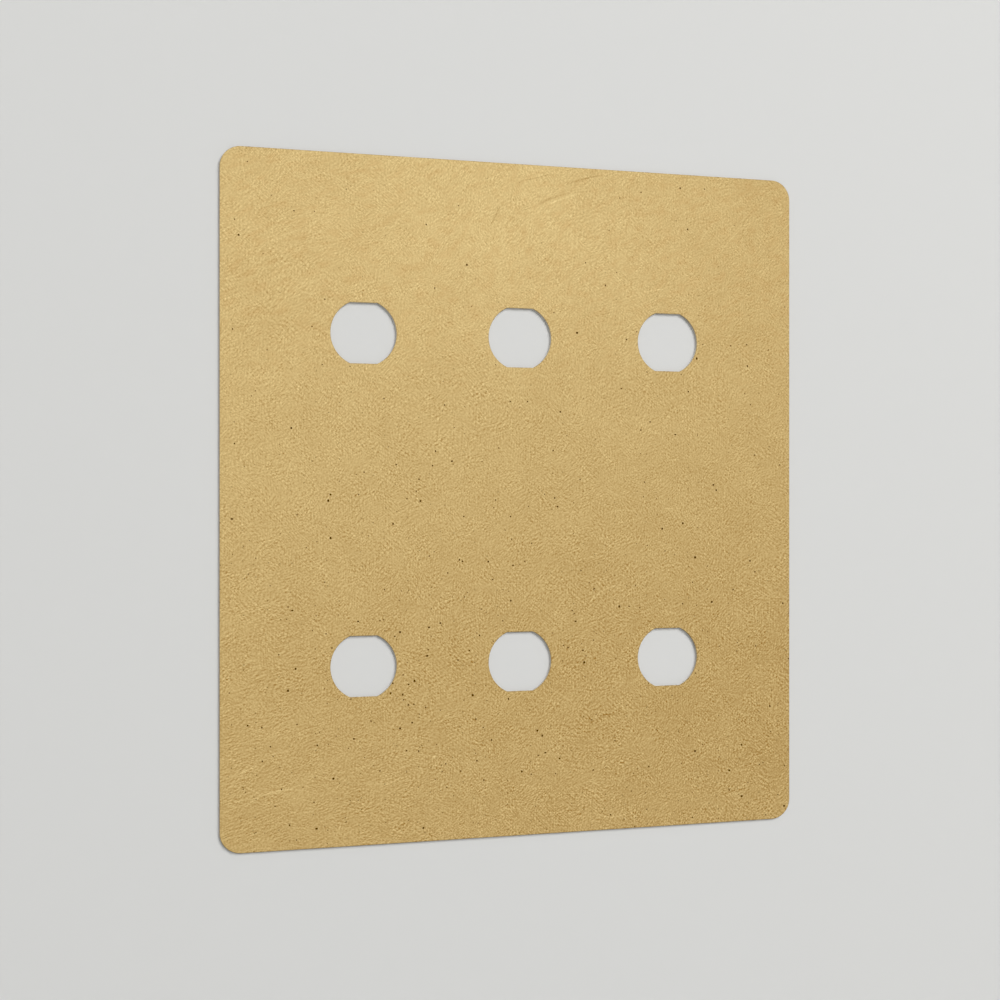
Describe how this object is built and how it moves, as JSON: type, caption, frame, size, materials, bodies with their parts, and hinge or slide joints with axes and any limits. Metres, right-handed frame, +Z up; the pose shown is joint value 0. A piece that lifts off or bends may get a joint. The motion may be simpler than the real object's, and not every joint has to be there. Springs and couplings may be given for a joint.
{
  "type": "switch plate",
  "caption": "Flat brass wall plate with rounded corners and keyed round holes in two rows for toggle or dimmer switches, with a rubbed and pitted antique finish.",
  "frame": {"origin": "centre of the back face, which lies on the wall", "axes": "+Y from the front through the back into the wall, +Z up, +X to the right as seen from the front"},
  "size_m": [0.146, 0.0008, 0.166],
  "materials": {
    "antique_brass": "hand-rubbed antique brass, satin, with fine scratches and small pits"
  },
  "bodies": {
    "root": {"switch_plate": "antique_brass"}
  },
  "joints": []
}
